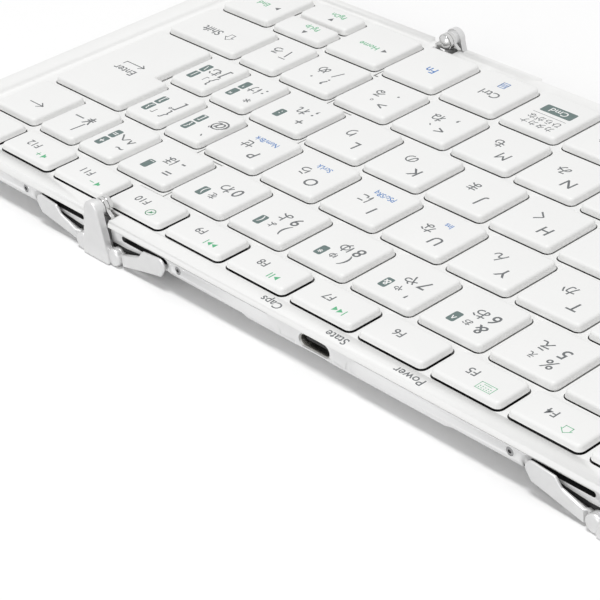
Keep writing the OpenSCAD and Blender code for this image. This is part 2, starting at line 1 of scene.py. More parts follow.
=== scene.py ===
import json
import math

import bmesh
import bpy
from mathutils import Matrix, Quaternion, Vector


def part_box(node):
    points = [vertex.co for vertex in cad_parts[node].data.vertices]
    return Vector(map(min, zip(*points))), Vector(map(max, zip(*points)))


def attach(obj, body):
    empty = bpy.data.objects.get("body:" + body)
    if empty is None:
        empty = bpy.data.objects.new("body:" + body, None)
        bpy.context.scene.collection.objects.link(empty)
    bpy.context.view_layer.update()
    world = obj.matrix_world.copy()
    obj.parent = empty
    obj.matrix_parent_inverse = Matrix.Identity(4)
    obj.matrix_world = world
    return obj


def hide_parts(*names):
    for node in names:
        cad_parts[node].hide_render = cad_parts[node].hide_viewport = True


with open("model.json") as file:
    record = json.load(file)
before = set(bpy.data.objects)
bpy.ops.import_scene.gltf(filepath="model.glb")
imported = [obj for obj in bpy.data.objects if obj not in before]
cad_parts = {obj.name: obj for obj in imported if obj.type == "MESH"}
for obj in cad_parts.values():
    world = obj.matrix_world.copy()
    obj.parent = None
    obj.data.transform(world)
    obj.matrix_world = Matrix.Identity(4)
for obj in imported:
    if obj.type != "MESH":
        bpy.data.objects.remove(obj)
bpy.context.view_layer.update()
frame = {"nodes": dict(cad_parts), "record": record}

# Sizes are in metres, as the frame is; MM turns a real size in millimetres into metres.
MM = 0.001
# Points that lie closer than WELD are made one, and ISLAND_WELD is enough to tell solids apart. Places
# within NEAR of each other count as the same.
WELD = 0.0005 * MM
ISLAND_WELD = 0.002 * MM
NEAR = 0.01 * MM
BODIES = frame["record"]["behaviour"]["bodies"]
BODY_OF = {node: body for body, nodes in BODIES.items() for node in nodes}

# Heights and places that the pieces share, read from the frame
RIM_HEIGHT = 0.9 * MM
DECK_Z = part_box("middle_deck")[1].z - RIM_HEIGHT
CAP_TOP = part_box("space_bar")[1].z
REAR_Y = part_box("middle_shell")[1].y


# ---------------------------------------------------------------- colours and materials

def srgb(text):
    """A colour written #rrggbb, as linear red, green, blue and alpha."""
    parts = [int(text[i:i + 2], 16) / 255 for i in (1, 3, 5)]
    return tuple(c / 12.92 if c <= 0.04045 else ((c + 0.055) / 1.055) ** 2.4 for c in parts) + (1.0,)


def add(tree, kind, inputs=(), **settings):
    """Adds a node with its settings. inputs pairs a socket's name or number with a value or a source."""
    node = tree.nodes.new(kind)
    for name, value in settings.items():
        setattr(node, name, value)
    for key, value in dict(inputs).items():
        if isinstance(value, bpy.types.NodeSocket):
            tree.links.new(value, node.inputs[key])
        else:
            node.inputs[key].default_value = value
    return node


def start_material(name, roughness, metallic=0.0, ior=1.5):
    """A new material with a Principled surface whose constants sit on its own sockets."""
    material = bpy.data.materials.new(name)
    material.use_nodes = True
    surface = material.node_tree.nodes["Principled BSDF"]
    surface.inputs["Roughness"].default_value = roughness
    surface.inputs["Metallic"].default_value = metallic
    surface.inputs["IOR"].default_value = ior
    return material, material.node_tree, surface


def mottled(tree, surface, light, dark, patch_mm):
    """Slow change of the base colour between two near tones, patch_mm across."""
    place = add(tree, "ShaderNodeTexCoord")
    noise = add(tree, "ShaderNodeTexNoise", {"Vector": place.outputs["Object"], "Scale": 1 / (patch_mm * MM),
                                             "Detail": 2.0, "Roughness": 0.5})
    mix = add(tree, "ShaderNodeMix", {0: noise.outputs[0], 6: srgb(dark), 7: srgb(light)}, data_type="RGBA")
    tree.links.new(mix.outputs[2], surface.inputs["Base Color"])


def grained(tree, surface, grain_mm, height_mm, stretch):
    """Bump of a moulded, blasted or brushed surface, with grains grain_mm across."""
    place = add(tree, "ShaderNodeTexCoord")
    turn = add(tree, "ShaderNodeMapping", {"Vector": place.outputs["Object"], "Scale": stretch})
    noise = add(tree, "ShaderNodeTexNoise", {"Vector": turn.outputs[0], "Scale": 1 / (grain_mm * MM),
                                             "Detail": 3.0, "Roughness": 0.6})
    bump = add(tree, "ShaderNodeBump", {"Height": noise.outputs[0], "Strength": 0.6,
                                        "Distance": height_mm * MM})
    tree.links.new(bump.outputs[0], surface.inputs["Normal"])


def made_of(name, roughness, tones, grain, metallic=0.0, ior=1.5, stretch=(1, 1, 1)):
    """A material. tones are its light and dark tone and how wide their patches are in millimetres, and
    grain is the width and height of its grains in millimetres."""
    material, tree, surface = start_material(name, roughness, metallic, ior)
    mottled(tree, surface, *tones)
    grained(tree, surface, *grain, stretch)
    return material


def printed_ink(name, light, dark):
    # Pad-printed ink: flat, a little uneven in cover
    return made_of(name, 0.55, (light, dark, 0.8), (0.15, 0.002), ior=1.48)


# Moulded ABS with a fine spark-eroded texture: an even, slightly soft white without a mirror sheen
DECK_WHITE = made_of("moulded_deck_abs", 0.48, ("#f1f1f0", "#eeeeed", 22), (0.45, 0.012), ior=1.53)
# Keycap ABS, a touch whiter and smoother than the deck, so its crown takes a soft highlight
KEY_WHITE = made_of("keycap_abs", 0.38, ("#f2f2f1", "#efefee", 14), (0.4, 0.008), ior=1.53)
# Painted shade: matt black without highlights, standing in for the shade in the gaps round the keys, on the
# slot floors of the leg recesses and behind the legs' arms
PAINTED_SHADE = made_of("skirt_black", 0.6, ("#1c1c1d", "#141415", 2), (0.3, 0.005))
# Blasted and clear anodised aluminium: pale, with a wide soft sheen and fine grit
SHELL = made_of("anodised_shell", 0.45, ("#e8e8e8", "#e3e3e3", 18), (0.3, 0.01), metallic=0.2)
# Zinc die casting, tumbled and satin plated: greyer than the shell, with a slightly lumpy skin
ZINC = made_of("cast_zinc", 0.36, ("#e0e0e0", "#d5d5d5", 3), (0.6, 0.02), metallic=0.6)
# Turned and polished stainless steel: faint rings, a sharp dark-and-light reflection
PIN_STEEL = made_of("polished_steel", 0.14, ("#d9d9d8", "#c8c8c8", 2), (0.35, 0.004), metallic=1.0,
                    stretch=(1, 6, 1))
# Steel sheet with a black coat, whose black also paints shade into the gaps round the keys, so that nothing
# bright shows through them
SHEET = made_of("black_sheet_steel", 0.5, ("#232324", "#1a1a1b", 9), (0.5, 0.006), metallic=0.2,
                stretch=(0.1, 1, 1))
# Small machine screws: darker plated steel
SCREW = made_of("screw_steel", 0.3, ("#9d9d9e", "#8b8b8c", 1), (0.3, 0.004), metallic=1.0)
# Moulded silicone: milky and matt
RUBBER = made_of("dome_silicone", 0.6, ("#e2e2de", "#d6d6d1", 2), (0.4, 0.01), ior=1.41)
# Green epoxy mask over copper: glossy, with a faint weave of the glass cloth under it
BOARD = made_of("solder_mask", 0.25, ("#1d6a3c", "#165730", 4), (0.5, 0.006), ior=1.55)
# Aluminium laminate pouch of a flat cell: matt with soft dents
FOIL = made_of("pouch_foil", 0.36, ("#c9cacc", "#b9babc", 6), (3, 0.08), metallic=0.9)
# Nickel-plated stamping of the socket: fairly bright, with a warm cast
NICKEL = made_of("nickel_shell", 0.26, ("#c4c3bf", "#b3b2ae", 2), (0.3, 0.004), metallic=1.0)
# Black glass-filled nylon of the socket's tongue: dull
NYLON = made_of("socket_plastic", 0.5, ("#1b1b1c", "#121213", 1), (0.2, 0.004), ior=1.53)
# Clear epoxy of a small lamp: glossy
LAMP = made_of("lamp_epoxy", 0.12, ("#e7efe6", "#d9e5d8", 1), (0.3, 0.002), ior=1.55)
INKS = {"grey": printed_ink("ink_grey", "#6f7274", "#5f6264"),
        "green": printed_ink("ink_green", "#63b98a", "#4fa978"),
        "blue": printed_ink("ink_blue", "#4a83c4", "#3a72b4"),
        "block": printed_ink("ink_block", "#6a7c7a", "#5c6e6c"),
        "white": printed_ink("ink_white", "#f4f4f3", "#ededec")}

NODE_FINISH = {"deck": DECK_WHITE, "shell": SHELL, "switch_plate": SHEET, "domes": RUBBER, "hinge_ears": ZINC,
               "screws": SCREW, "main_board": BOARD, "battery": FOIL, "usb_socket": NICKEL,
               "status_lamps": LAMP, "knuckle": ZINC, "pin": PIN_STEEL, "leg": ZINC}


def dress_nodes():
    """Gives every CAD node that stays in view its finish."""
    for name, node in frame["nodes"].items():
        for ending, material in NODE_FINISH.items():
            if name.endswith(ending):
                node.data.materials.clear()
                node.data.materials.append(material)


# ---------------------------------------------------------------- making and placing meshes

def put(name, data):
    """A new object at the origin, in the scene."""
    made = bpy.data.objects.new(name, data)
    bpy.context.scene.collection.objects.link(made)
    return made


def plain_mesh(made):
    """The final shape of an object as a plain mesh. The object itself is dropped."""
    graph = bpy.context.evaluated_depsgraph_get()
    mesh = bpy.data.meshes.new_from_object(made.evaluated_get(graph))
    bpy.data.objects.remove(made)
    return mesh


def mesh_from(bm, name):
    """The mesh of a finished working copy, which is freed."""
    mesh = bpy.data.meshes.new(name)
    bm.to_mesh(mesh)
    bm.free()
    return mesh


def closed_mesh(bm, name):
    """The same, with large faces cut into triangles and all faces turned outwards."""
    bmesh.ops.triangulate(bm, faces=[f for f in bm.faces if len(f.verts) > 4])
    bmesh.ops.recalc_face_normals(bm, faces=bm.faces)
    return mesh_from(bm, name)


def gathered(meshes):
    """One working copy of several meshes, which are dropped."""
    bm = bmesh.new()
    for mesh in meshes:
        bm.from_mesh(mesh)
        bpy.data.meshes.remove(mesh)
    return bm


def welded(node, reach):
    """A working copy of a CAD node's mesh, with points closer than reach made one."""
    bm = bmesh.new()
    bm.from_mesh(frame["nodes"][node].data)
    bmesh.ops.remove_doubles(bm, verts=bm.verts, dist=reach)
    return bm


def make_piece(name, mesh, body, materials):
    """A new piece of the object at the origin, with its place in its mesh, riding on a body."""
    piece = put(name, mesh)
    for material in materials:
        mesh.materials.append(material)
    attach(piece, body)
    return piece


def shade(mesh, angle_deg=40):
    """Smooth shading, with edges sharper than the angle kept sharp."""
    mesh.shade_smooth()
    mesh.set_sharp_from_angle(angle=math.radians(angle_deg))


def replace_node(node, ending, mesh, materials):
    """Puts a shaded mesh in the place of a CAD node, on the same body."""
    piece = make_piece(node + ending, mesh, BODY_OF[node], materials)
    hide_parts(node)


def middle_of(box):
    """The middle of a box given as (lowest corner, highest corner)."""
    return (box[0] + box[1]) / 2


def middle_x(node):
    """X of the middle of a CAD node."""
    low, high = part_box(node)
    return (low.x + high.x) / 2


def islands(node):
    """Boxes of the separate solids of a CAD node, as (lowest corner, highest corner)."""
    bm = welded(node, ISLAND_WELD)
    todo, found = set(bm.verts), []
    while todo:
        patch, edge = set(), [todo.pop()]
        while edge:
            vert = edge.pop()
            patch.add(vert)
            for other in (e.other_vert(vert) for e in vert.link_edges):
                if other in todo:
                    todo.remove(other)
                    edge.append(other)
        low = Vector(min(v.co[i] for v in patch) for i in range(3))
        high = Vector(max(v.co[i] for v in patch) for i in range(3))
        found.append((low, high))
    bm.free()
    return sorted(found, key=lambda box: (round(box[0].x, 5), box[0].y))


# ---------------------------------------------------------------- keycaps

# Corners of a cap seen from above, its sides, and the lip above its skirt, whose sides are painted black as
# shade
CAP_CORNER = 1.4 * MM
LEAST_CORNER = 0.1 * MM
INNER_CORNER = 0.3 * MM
CAP_DRAFT = 0.22 * MM
CAP_CROWN = 0.75 * MM
CAP_WALL = 0.9 * MM
CAP_ROOF = 1.0 * MM
CAP_STEP = 0.5 * MM
CAP_LIP = 0.08 * MM
PAINTED_SHADE_RINGS = (1, 2, 3)
LIP_FUNCTION = 0.3 * MM
LIP_LETTER = 0.08 * MM
CORNER_STEPS = 6
CROWN_STEPS = 5


def inset_loop(corners, inset):
    """A closed outline of right-angled corners, counter-clockwise, moved inwards and rounded."""
    loop, count = [], len(corners)
    for i, corner in enumerate(corners):
        before = (corner - corners[i - 1]).normalized()
        after = (corners[(i + 1) % count] - corner).normalized()
        inward = Vector((-before.y, before.x)) + Vector((-after.y, after.x))
        outer_corner = before.x * after.y - before.y * after.x > 0
        bend = max(CAP_CORNER - inset, LEAST_CORNER) if outer_corner else INNER_CORNER + inset
        middle = corner + inward * inset + inward * (bend if outer_corner else -bend)
        start = math.atan2(-before.x, before.y) if outer_corner else math.atan2(before.x, -before.y)
        turn = math.pi / 2 if outer_corner else -math.pi / 2
        for step in range(CORNER_STEPS + 1):
            angle = start + turn * step / CORNER_STEPS
            loop.append(middle + bend * Vector((math.cos(angle), math.sin(angle))))
    return loop


def add_cap(bm, corners, base_z, top_z, lip_z):
    """A hollow keycap over an outline: drafted sides, a rounded crown and an open underside. Its skirt
    steps in under a lip that stands lip_z above the deck, so a gap shows round the key; the skirt's sides in
    that gap are painted black as shade."""
    under_lip = DECK_Z + lip_z
    rings = [(CAP_WALL, top_z - CAP_ROOF), (CAP_WALL, base_z), (CAP_STEP, base_z), (CAP_STEP, under_lip),
             (CAP_LIP, under_lip), (0, under_lip + CAP_LIP)]
    for step in range(CROWN_STEPS + 1):
        a = math.pi / 2 * step / CROWN_STEPS
        rings.append((CAP_DRAFT + CAP_CROWN * (1 - math.cos(a)), top_z - CAP_CROWN * (1 - math.sin(a))))
    loops = [[bm.verts.new((p.x, p.y, z)) for p in inset_loop(corners, inset)] for inset, z in rings]
    for number, (lower, upper) in enumerate(zip(loops, loops[1:])):
        for i in range(len(lower)):
            j = (i + 1) % len(lower)
            side = bm.faces.new((lower[i], lower[j], upper[j], upper[i]))
            run = lower[j].co - lower[i].co
            # Painted shade: the skirt is black on every side of a function key, and on the other keys only on
            # its front and rear sides, where the gap lies in shade
            black = lip_z > LIP_LETTER or abs(run.x) > abs(run.y)
            side.material_index = 1 if number in PAINTED_SHADE_RINGS and black else 0
    bm.faces.new(loops[-1])
    bm.faces.new(list(reversed(loops[0])))


def rectangle(low, high):
    """The outline of a plain key."""
    return [Vector(p) for p in ((low.x, low.y), (high.x, low.y), (high.x, high.y), (low.x, high.y))]


def enter_outline(low, high):
    """The L-shaped key: its foot starts further right, in front of the upper row."""
    key_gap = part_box("bottom_keys_middle")[0].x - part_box("space_bar")[1].x
    foot_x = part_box("home_keys_right")[1].x + key_gap
    step_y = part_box("upper_keys_right")[0].y
    return [Vector(p) for p in ((foot_x, low.y), (high.x, low.y), (high.x, high.y), (low.x, high.y),
                                (low.x, step_y), (foot_x, step_y))]


KEY_NODES = [name for name in frame["nodes"] if "_keys_" in name or name in ("enter_key", "space_bar")]


def make_keycaps():
    """Hollow caps in the place of the plain blocks of every key."""
    for node in KEY_NODES:
        lip_z = LIP_FUNCTION if node.startswith("function") else LIP_LETTER
        bm = bmesh.new()
        for low, high in islands(node):
            corners = enter_outline(low, high) if node == "enter_key" else rectangle(low, high)
            add_cap(bm, corners, low.z, high.z, lip_z)
        bmesh.ops.recalc_face_normals(bm, faces=bm.faces)
        mesh = mesh_from(bm, node + "_caps")
        shade(mesh, 50)
        replace_node(node, "_caps", mesh, [KEY_WHITE, PAINTED_SHADE])


# ---------------------------------------------------------------- printing on keys and deck

INK_THICK = 0.012 * MM
INK_SINK = 0.004 * MM
ON_BLOCK = 0.006 * MM
# A capital letter's share of the type size, and how much its strokes are thickened for its height
CAPITAL_SHARE = 0.70
THICKENED = 0.014


def text_mesh(words, height, centre, z, squeeze=1.0, slant=0.0):
    """Words as a thin solid, height tall over a capital letter, centred on a point."""
    curve = bpy.data.curves.new("words", "FONT")
    curve.body = words
    curve.size = height / CAPITAL_SHARE
    # An M keeps its thin strokes, because thicker ones close its narrow gaps
    curve.offset = 0 if words == "M" else THICKENED * height
    curve.resolution_u = 3
    curve.extrude = INK_THICK / 2
    curve.align_x = "CENTER"
    curve.shear = slant
    mesh = plain_mesh(put("words", curve))
    bpy.data.curves.remove(curve)
    place = Matrix.Translation((centre[0], centre[1] - height / 2, z + INK_THICK / 2 - INK_SINK))
    mesh.transform(place @ Matrix.Diagonal((squeeze, 1, 1, 1)))
    return mesh


def plate_mesh(outline, z):
    """A printed patch over an outline of points."""
    bm = bmesh.new()
    low, high = z - INK_SINK, z + INK_THICK - INK_SINK
    below = [bm.verts.new((x, y, low)) for x, y in outline]
    above = [bm.verts.new((x, y, high)) for x, y in outline]
    bm.faces.new(list(reversed(below)))
    bm.faces.new(above)
    for i in range(len(outline)):
        j = (i + 1) % len(outline)
        bm.faces.new((below[i], below[j], above[j], above[i]))
    bmesh.ops.recalc_face_normals(bm, faces=bm.faces)
    return mesh_from(bm, "patch")


class Print:
    """Collects the printing of one body and makes one piece of each ink."""

    def __init__(self, name, body, z):
        self.name, self.body, self.z = name, body, z
        self.meshes = {}

    def keep(self, ink, mesh):
        self.meshes.setdefault(ink, []).append(mesh)

    def words(self, ink, words, x, y, height, squeeze=1.0, slant=0.0, lift=0.0):
        self.keep(ink, text_mesh(words, height * MM, (x, y), self.z + lift, squeeze, slant))

    def patch(self, ink, points, x, y):
        """A filled shape given in millimetres round a point."""
        self.keep(ink, plate_mesh([(x + px * MM, y + py * MM) for px, py in points], self.z))

    def strokes(self, ink, lines, x, y, width=0.16):
        """Straight strokes in millimetres round a point, each as (x0, y0, x1, y1)."""
        for x0, y0, x1, y1 in lines:
            along = Vector((x1 - x0, y1 - y0)).normalized() * width / 2
            side = Vector((-along.y, along.x))
            a, b = Vector((x0, y0)) - along, Vector((x1, y1)) + along
            self.patch(ink, [a - side, b - side, b + side, a + side], x, y)

    def finish(self):
        for ink, meshes in self.meshes.items():
            bm = gathered(meshes)
            bmesh.ops.remove_doubles(bm, verts=bm.verts, dist=1e-8)
            name = f"{self.name}_{ink}"
            make_piece(name, mesh_from(bm, name), self.body, [INKS[ink]])


def block(w, h, r=0.45, steps=3):
    """Outline of a small rounded block in millimetres."""
    points = []
    dx, dy = w / 2 - r, h / 2 - r
    for cx, cy, start in ((dx, dy, 0), (-dx, dy, 90), (-dx, -dy, 180), (dx, -dy, 270)):
        for step in range(steps + 1):
            a = math.radians(start + 90 * step / steps)
            points.append((cx + r * math.cos(a), cy + r * math.sin(a)))
    return points


# Key printing, row by row from the rear and key by key from the left. A pair is a letter and its
# kana; four or five items are the upper left, lower left, upper right and lower right signs and
# the signs on dark blocks; a single item is a word.
FUNCTION_ROW = ["Esc", "F1", "F2", "F3", "F4", "F5", "F6", "F7", "F8", "F9", "F10", "F11", "F12", "Del"]
NUMBER_ROW = ["半/全", ("!", "1", "", "ぬ", ""), ("\"", "2", "", "ふ", ""), ("#", "3", "ぁ", "あ", ""),
              ("$", "4", "ぅ", "う", ""), ("%", "5", "ぇ", "え", ""), ("&", "6", "ぉ", "お", "^"),
              ("'", "7", "ゃ", "や", "&"), ("(", "8", "ゅ", "ゆ", "*"), (")", "9", "ょ", "よ", "("),
              ("", "0", "を", "わ", ")"), ("=", "-", "", "ほ", "_"), ("~", "^", "", "へ", "+="),
              ("|", "¥", "", "ー", ""), "left arrow"]
UPPER_ROW = ["Tab", "Qた", "Wて", "Eい", "Rす", "Tか", "Yん", "Uな", "Iに", "Oら", "Pせ",
             ("`", "@", "", "゛", "{["), ("{", "[", "「", "゜", "}]")]
HOME_ROW = ["Caps", "Aち", "Sと", "Dし", "Fは", "Gき", "Hく", "Jま", "Kの", "Lり",
            ("+", ";", "", "れ", ":"), ("*", ":", "", "け", "\"'"), ("}", "]", "」", "む", "|\\")]
LOWER_ROW = ["Shift", "Zつ", "Xさ", "Cそ", "Vひ", "Bこ", "Nみ", "Mも", ("<", ",", "、", "ね", ""),
             (">", ".", "。", "る", ""), ("?", "/", "・", "め", ""), ("_", "\\", "", "ろ", ""), "Shift"]
BOTTOM_ROW = ["Ctrl", "Cmd", "Alt", "無変換", "変換", "kana", "Ctrl menu", "Fn", "Home", "PgDn", "PgUp",
              "End"]
UNDER_LETTER = {"U": "Ins", "I": "PSc/SRq", "O": "ScrLk", "P": "Num/Brk"}

# Heights of the printing in millimetres, over a capital letter, and how far its signs lean
LETTER_H = 3.0
DIGIT_H = 3.1
KANA_H = 2.6
SMALL_H = 1.9
FUNCTION_H = 2.05
WORD_H = 2.4
CTRL_H = 2.5
KANJI_H = 2.1
TINY_H = 1.6
DECK_WORD_H = 2.1
SLANT = 0.1


def ring(radius, steps=20):
    """Strokes of a circle."""
    points = [(radius * math.cos(math.tau * i / steps), radius * math.sin(math.tau * i / steps))
              for i in range(steps + 1)]
    return [(*a, *b) for a, b in zip(points, points[1:])]


def triangle(x, way):
    """A solid pointer to the right (way 1) or left (way -1), starting at x."""
    half, long = 0.8, 1.2
    return sorted_around([(x, half), (x, -half), (x + way * long, 0)])


def sorted_around(points):
    """The same points, counter-clockwise."""
    area = sum(a[0] * b[1] - b[0] * a[1] for a, b in zip(points, points[1:] + points[:1]))
    return points if area > 0 else points[::-1]


def function_icon(ink, name, x, y):
    """The small green picture of a function key."""
    if name == "F4":
        ink.strokes("green", [(-1.3, 0, 0, 1.1), (0, 1.1, 1.3, 0), (-0.9, 0.1, -0.9, -1), (0.9, 0.1, 0.9, -1),
                              (-0.9, -1, 0.9, -1)], x, y)
    if name == "F5":
        ink.strokes("green", [(-1.9, 1.1, 1.9, 1.1), (1.9, 1.1, 1.9, -1.1), (1.9, -1.1, -1.9, -1.1),
                              (-1.9, -1.1, -1.9, 1.1), (-0.9, -0.6, 0.9, -0.6)], x, y, 0.14)
        for row, column in ((r, c) for r in (0.1, 0.65) for c in (-1.3, -0.65, 0, 0.65, 1.3)):
            ink.patch("green", block(0.28, 0.24, 0.06, 1), x + column * MM, y + row * MM)
    if name in ("F7", "F9"):
        way = -1 if name == "F7" else 1
        for start in (-1.8, -0.4):
            ink.patch("green", triangle(way * start, way), x, y)
        ink.strokes("green", [(way * 1.3, -0.8, way * 1.3, 0.8)], x, y, 0.26)
    if name == "F8":
        ink.patch("green", triangle(-1.5, 1), x, y)
        ink.strokes("green", [(0.3, -0.8, 0.3, 0.8), (1.1, -0.8, 1.1, 0.8)], x, y, 0.3)
    if name == "F10":
        ink.strokes("green", ring(1.15) + [(-0.6, -0.5, 0.6, 0.5)], x, y, 0.2)
    if name in ("F10", "F11", "F12"):
        left = 0 if name == "F10" else -0.9
        horn = [(-0.7, -0.3), (-0.3, -0.3), (0.3, -0.8), (0.3, 0.8), (-0.3, 0.3), (-0.7, 0.3)]
        scale = 0.75 if name == "F10" else 1.2
        ink.patch("green", [(px * scale + left, py * scale) for px, py in horn], x, y)
    if name in ("F11", "F12"):
        ink.strokes("green", [(0.3, 0, 1.5, 0)], x, y, 0.22)
    if name == "F12":
        ink.strokes("green", [(0.9, -0.6, 0.9, 0.6)], x, y, 0.22)


def arrow_print(ink, colour, x, y, way):
    """A small solid arrowhead that points left, right, up or down."""
    side_x, side_y = {"left": (-1, 0), "right": (1, 0), "up": (0, 1), "down": (0, -1)}[way]
    points = [(side_x * 0.95, side_y * 0.95), (-side_y * 0.8 - side_x * 0.5, side_x * 0.8 - side_y * 0.5),
              (side_y * 0.8 - side_x * 0.5, -side_x * 0.8 - side_y * 0.5)]
    ink.patch(colour, sorted_around(points), x, y)


def four_signs(ink, x, y, signs, narrow):
    """The signs of a key outside the letters, with room on the right for its dark blocks."""
    upper, lower, small, kana, on_blocks = signs
    if on_blocks:
        left, right = -3.9 if narrow else -4.6, -0.9
    else:
        left, right = -2.6 if narrow else -3.5, 1.4
    ink.words("grey", upper, x + left * MM, y + 3.4 * MM, LETTER_H, slant=SLANT)
    ink.words("grey", lower, x + left * MM, y - 0.9 * MM, DIGIT_H, slant=SLANT)
    ink.words("grey", small, x + right * MM, y + 3.2 * MM, SMALL_H)
    ink.words("grey", kana, x + right * MM, y - 0.9 * MM, KANA_H)
    for i, sign in enumerate(on_blocks):
        place_y = y + (3.1 - 4.0 * i) * MM
        ink.patch("block", block(2.1, 3.5), x + 2.5 * MM, place_y)
        ink.words("white", sign, x + 2.5 * MM, place_y, SMALL_H, lift=ON_BLOCK)


def print_key(ink, row, legend, x, y, narrow):
    """Prints one key whose middle is at x, y."""
    if row == "function":
        ink.words("grey", legend, x + 1.9 * MM, y - 0.1 * MM, FUNCTION_H)
        function_icon(ink, legend, x - 3.5 * MM, y + 2.1 * MM)
    elif isinstance(legend, tuple):
        four_signs(ink, x, y, legend, narrow)
    elif len(legend) == 2 and legend[0].isupper() and not legend[1].isascii():
        under = UNDER_LETTER.get(legend[0])
        ink.words("grey", legend[0], x - 3.6 * MM, y + 3.1 * MM, LETTER_H, slant=SLANT)
        ink.words("grey", legend[1], x + 1.5 * MM, y + (0.1 if under else -1.0) * MM, KANA_H)
        if under:
            ink.words("blue", under, x - 1.2 * MM, y - 3.1 * MM, TINY_H, 0.85)
    elif legend == "left arrow":
        shaft_and_head = [(-2.4, 0, 2.4, 0), (-2.4, 0, -1, 1), (-2.4, 0, -1, -1)]
        ink.strokes("grey", shaft_and_head, x - 1.2 * MM, y + 1.9 * MM, 0.3)
    elif legend == "Shift":
        start = x + (-4.6 if x > 0 else -10) * MM
        hollow_arrow = [(0, 1.5, 1.4, 0.1), (1.4, 0.1, 0.7, 0.1), (0.7, 0.1, 0.7, -1.4),
                        (0.7, -1.4, -0.7, -1.4), (-0.7, -1.4, -0.7, 0.1), (-0.7, 0.1, -1.4, 0.1),
                        (-1.4, 0.1, 0, 1.5)]
        ink.strokes("grey", hollow_arrow, start, y + 1.9 * MM, 0.22)
        ink.words("grey", "Shift", start + 6.6 * MM, y + 1.9 * MM, KANA_H)
    elif legend == "kana":
        left_x = x - 0.9 * MM
        ink.words("grey", "カタカナ", left_x, y + 5.6 * MM, 1.7)
        ink.words("grey", "ひらがな", left_x, y + 3.0 * MM, 1.7)
        ink.strokes("grey", [(-5.4, 0, 4.2, 0)], x, y + 1.0 * MM, 0.14)
        ink.patch("block", block(9.2, 3.3), left_x, y - 1.9 * MM)
        ink.words("white", "Cmd", left_x, y - 1.9 * MM, SMALL_H, lift=ON_BLOCK)
    elif legend == "Ctrl menu":
        ink.words("grey", "Ctrl", x - 1.4 * MM, y + 1.4 * MM, CTRL_H)
        menu = [(-1, 1.2, 1, 1.2), (1, 1.2, 1, -1.2), (1, -1.2, -1, -1.2), (-1, -1.2, -1, 1.2),
                (-1, 0.5, 1, 0.5), (-1, 0, 1, 0), (-1, -0.5, 1, -0.5)]
        ink.strokes("blue", menu, x - 1.2 * MM, y - 3.8 * MM, 0.22)
    elif legend == "Fn":
        ink.words("blue", "Fn", x - 1.4 * MM, y + 1.4 * MM, CTRL_H)
    elif legend in ("Home", "End"):
        arrow_print(ink, "grey", x - 5.0 * MM, y + 1.4 * MM, "left" if legend == "Home" else "right")
        ink.words("green", legend, x + 0.2 * MM, y + 1.5 * MM, 1.8)
    elif legend in ("PgUp", "PgDn"):
        arrow_print(ink, "grey", x - 1.2 * MM, y + 1.7 * MM, "up" if legend == "PgUp" else "down")
        ink.words("green", legend, x - 1.2 * MM, y - 0.9 * MM, TINY_H)
    else:
        shift_x = 0 if len(legend) > 3 or not legend.isascii() else -1.4
        height = WORD_H if legend.isascii() else KANJI_H
        ink.words("grey", legend, x + shift_x * MM, y + 1.4 * MM, height)


def print_keys():
    """Prints every row of keys, then the Enter key."""
    rows = {"function": FUNCTION_ROW, "number": NUMBER_ROW, "upper": UPPER_ROW, "home": HOME_ROW,
            "lower": LOWER_ROW, "bottom": BOTTOM_ROW}
    for row, legends in rows.items():
        places = []
        for side in ("left", "middle", "right"):
            node = f"{row}_keys_{side}"
            ink = Print(f"{node}_print", BODY_OF[node], CAP_TOP)
            places += [(ink, box) for box in islands(node)]
        for (ink, (low, high)), legend in zip(places, legends):
            middle = middle_of((low, high))
            print_key(ink, row, legend, middle.x, middle.y, high.x - low.x < 15 * MM)
        for ink in dict.fromkeys(ink for ink, box in places):
            ink.finish()
    low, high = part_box("enter_key")
    ink = Print("enter_key_print", BODY_OF["enter_key"], CAP_TOP)
    x, y = (low.x + high.x) / 2 + 1.5 * MM, (low.y + high.y) / 2 + 3.8 * MM
    ink.words("grey", "Enter", x, y, WORD_H)
    bent_arrow = [(3.2, 1.2, 3.2, 0), (3.2, 0, -3.2, 0), (-3.2, 0, -2, 0.9), (-3.2, 0, -2, -0.9)]
    ink.strokes("grey", bent_arrow, x, y - 3.6 * MM, 0.3)
    ink.finish()


def print_deck():
    """The three words behind the function row."""
    ink = Print("middle_deck_print", "middle_panel", DECK_Z)
    for words, x in (("Power", -19.6), ("State", 0.3), ("Caps", 19.4)):
        ink.words("grey", words, x * MM, REAR_Y - 1.75 * MM, DECK_WORD_H)
    ink.finish()


# ---------------------------------------------------------------- hinge castings and pins

def merged_copy(node):
    """A welded copy of a CAD node's mesh whose flat faces are single faces."""
    bm = welded(node, WELD)
    bmesh.ops.dissolve_limit(bm, angle_limit=math.radians(1), verts=bm.verts, edges=bm.edges)
    return bm


def finish_copy(bm, node, ending, materials):
    """Turns a worked copy of a CAD node into the piece that takes the node's place."""
    bmesh.ops.remove_doubles(bm, verts=bm.verts, dist=WELD)
    mesh = closed_mesh(bm, node + ending)
    shade(mesh)
    replace_node(node, ending, mesh, materials)


def round_edges(bm, edges, radius, steps=3):
    bmesh.ops.bevel(bm, geom=edges, offset=radius, segments=steps, profile=0.5, affect="EDGES",
                    clamp_overlap=True)


def sharp_edges(bm, least_deg=30):
    return [e for e in bm.edges if e.is_manifold and e.calc_face_angle(0) > math.radians(least_deg)]


def rounded(start, corners, end, steps=5):
    """Points from start to end through corners given as (x, z, radius), each corner an arc."""
    line = [Vector(start)] + [Vector(c[:2]) for c in corners] + [Vector(end)]
    points = []
    for i, (_, _, radius) in enumerate(corners, 1):
        back = (line[i - 1] - line[i]).normalized()
        onward = (line[i + 1] - line[i]).normalized()
        half = back.angle(onward) / 2
        centre = line[i] + (back + onward).normalized() * radius / math.sin(half)
        first = line[i] + back * radius / math.tan(half) - centre
        last = line[i] + onward * radius / math.tan(half) - centre
        for step in range(steps + 1):
            points.append(centre + first.slerp(last, step / steps).normalized() * radius)
    return points


